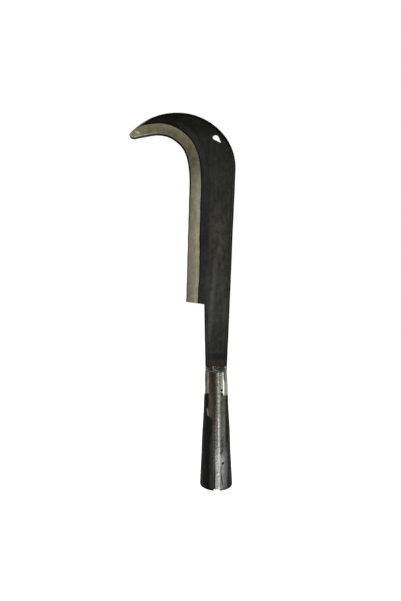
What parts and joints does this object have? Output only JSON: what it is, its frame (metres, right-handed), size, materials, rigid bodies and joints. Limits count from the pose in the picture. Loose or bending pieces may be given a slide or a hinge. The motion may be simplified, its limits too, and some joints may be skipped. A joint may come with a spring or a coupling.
{
  "type": "socketed billhook head",
  "caption": "Forged billhook head with a hooked blade, a stepped heel, a hanging hole and a rolled conical socket for a wooden handle.",
  "frame": {"origin": "centre of the socket's mouth, on the socket's axis", "axes": "+Z along the socket's axis from the mouth to the hook; the blade lies in the XZ plane with the hook and the cutting edge towards -X; the socket's seam faces -Y"},
  "size_m": [0.1113, 0.0341, 0.3883],
  "materials": {
    "forged_steel": "black forge scale, with a bevel ground to bare steel along the edge",
    "rolled_sheet": "dark mill scale, ground bright round the small end",
    "weld_metal": "ground weld bead with pits"
  },
  "bodies": {
    "root": {"blade": "forged_steel", "socket": "rolled_sheet", "seam_weld": "weld_metal", "neck_weld_front": "weld_metal", "neck_weld_back": "weld_metal"}
  },
  "joints": []
}
